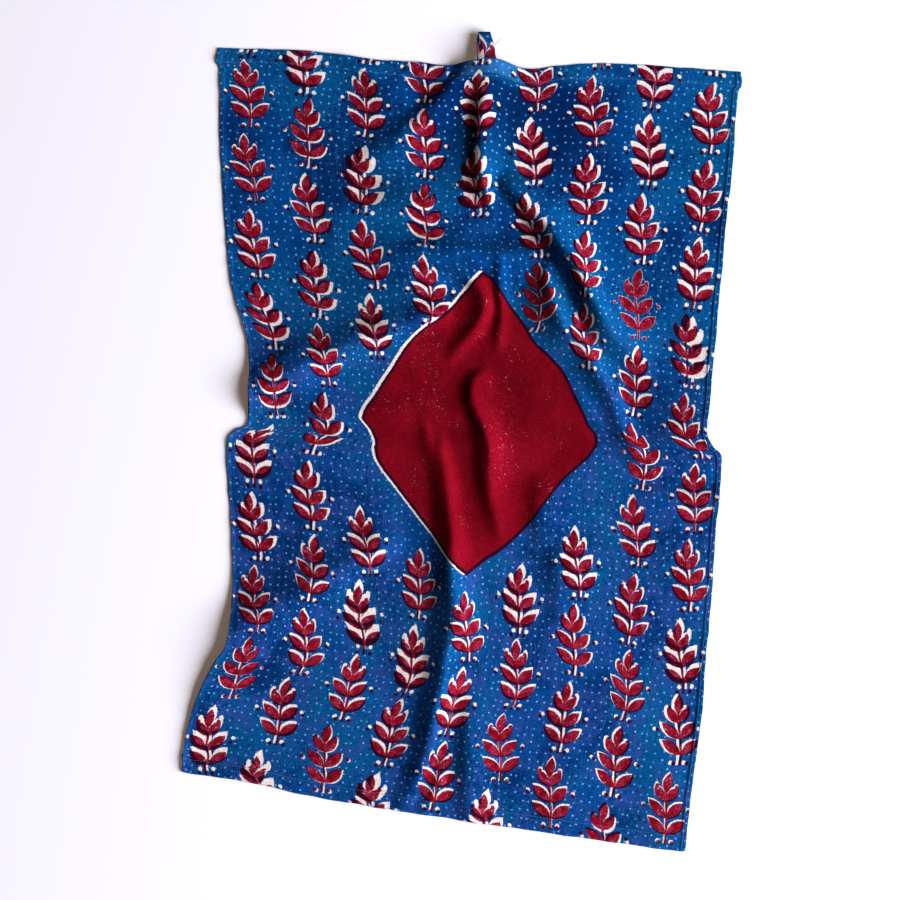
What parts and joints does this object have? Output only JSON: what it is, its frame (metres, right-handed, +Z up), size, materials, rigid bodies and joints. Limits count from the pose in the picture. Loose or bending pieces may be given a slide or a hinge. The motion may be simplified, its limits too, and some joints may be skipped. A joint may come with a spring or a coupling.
{
  "type": "tea towel",
  "caption": "Rumpled rectangular cotton tea towel lying on a surface, with soft ridges and creases and a fabric hanging loop under one hem.",
  "frame": {"origin": "middle of the object's footprint, on the surface that the towel lies on", "axes": "+Z up from that surface, +Y along the towel's length towards the edge with the loop, +X to the right"},
  "size_m": [0.512, 0.7499, 0.0206],
  "materials": {
    "printed_cotton": "matt plain-weave cotton, indigo ground printed in madder red",
    "loop_cotton": "matt plain-weave cotton, indigo ground printed in madder red"
  },
  "bodies": {
    "root": {"towel_cloth": "printed_cotton", "hanging_loop": "loop_cotton"}
  },
  "joints": []
}
